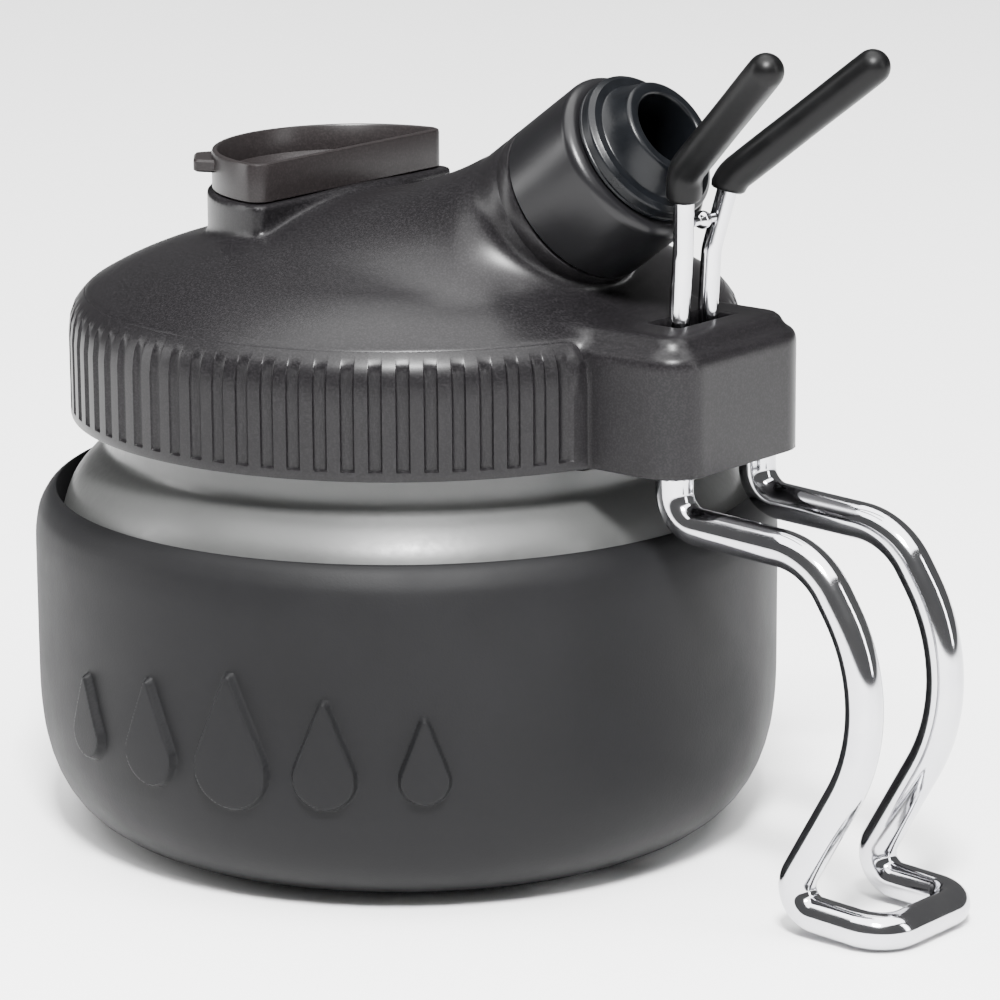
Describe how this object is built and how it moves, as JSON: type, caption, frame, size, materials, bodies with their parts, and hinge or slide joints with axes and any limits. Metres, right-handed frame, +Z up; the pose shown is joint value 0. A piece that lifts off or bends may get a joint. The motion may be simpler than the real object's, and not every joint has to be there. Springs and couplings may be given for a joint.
{
  "type": "airbrush spray-out pot",
  "caption": "Squat glass jar in a soft sleeve, with a screw lid, filtered vent chimney, inclined sealed port, wire airbrush cradle and wire leg.",
  "frame": {"origin": "centre of the sleeve's flat base, on the table", "axes": "+Z up, +X outward along the inclined port, the cradle and the leg; the XZ plane is the plane of symmetry"},
  "size_m": [0.1628, 0.118, 0.1324],
  "materials": {
    "silicone": "matte dark grey silicone",
    "frosted_glass": "frosted, grey-white",
    "gasket": "soft grey",
    "lid_plastic": "smoky charcoal, fine sparkle texture, satin",
    "cup_plastic": "translucent brown-grey, satin",
    "filter_foam": "open-cell charcoal foam",
    "filter_fibre": "white fibre felt",
    "collar_plastic": "smooth satin charcoal",
    "seal_rubber": "blue-black, semi-matte",
    "chrome_wire": "polished",
    "vinyl_dip": "dipped black vinyl, semi-gloss",
    "chrome_rod": "polished"
  },
  "bodies": {
    "sleeve": {"sleeve": "silicone"},
    "jar": {"jar": "frosted_glass"},
    "gasket": {"lid_gasket": "gasket"},
    "lid": {"lid": "lid_plastic"},
    "cup": {"filter_cup": "cup_plastic"},
    "filters": {"filter_foam": "filter_foam", "filter_fibre": "filter_fibre", "filter_grid": "cup_plastic"},
    "cradle": {"prong_left": "chrome_wire", "prong_right": "chrome_wire", "prong_link": "chrome_wire", "grip_left": "vinyl_dip", "grip_right": "vinyl_dip"},
    "leg": {"leg_loop": "chrome_rod"},
    "port_cap": {"port_collar": "collar_plastic", "port_seal": "seal_rubber"}
  },
  "joints": [
    {"name": "jar_lift", "type": "slide", "parent": "sleeve", "child": "jar", "axis": [0, 0, 1], "range_m": [0, 0.05]},
    {"name": "lid_rise", "type": "slide", "parent": "jar", "child": "gasket", "axis": [0, 0, 1], "range_m": [0, 0.00625]},
    {"name": "lid_turn", "type": "hinge", "parent": "gasket", "child": "lid", "pos_m": [0, 0, 0.08], "axis": [0, 0, 1], "range_deg": [0, 450]},
    {"name": "cup_lift", "type": "slide", "parent": "lid", "child": "cup", "axis": [0, 0, 1], "range_m": [0, 0.024]},
    {"name": "filter_lift", "type": "slide", "parent": "cup", "child": "filters", "axis": [0, 0, 1], "range_m": [0, 0.02]},
    {"name": "collar_turn", "type": "hinge", "parent": "lid", "child": "port_cap", "pos_m": [0.03305, 0, 0.1022], "axis": [0.809, 0, 0.5878], "range_deg": [0, 90]},
    {"name": "cradle_lift", "type": "slide", "parent": "lid", "child": "cradle", "axis": [0, 0, 1], "range_m": [0, 0.009]},
    {"name": "leg_pull", "type": "slide", "parent": "lid", "child": "leg", "axis": [0, 0, -1], "range_m": [0, 0.011]}
  ],
  "couplings": [
    {"joint": "lid_rise", "follows": "lid_turn", "m_per_rad": 0.00079577}
  ]
}
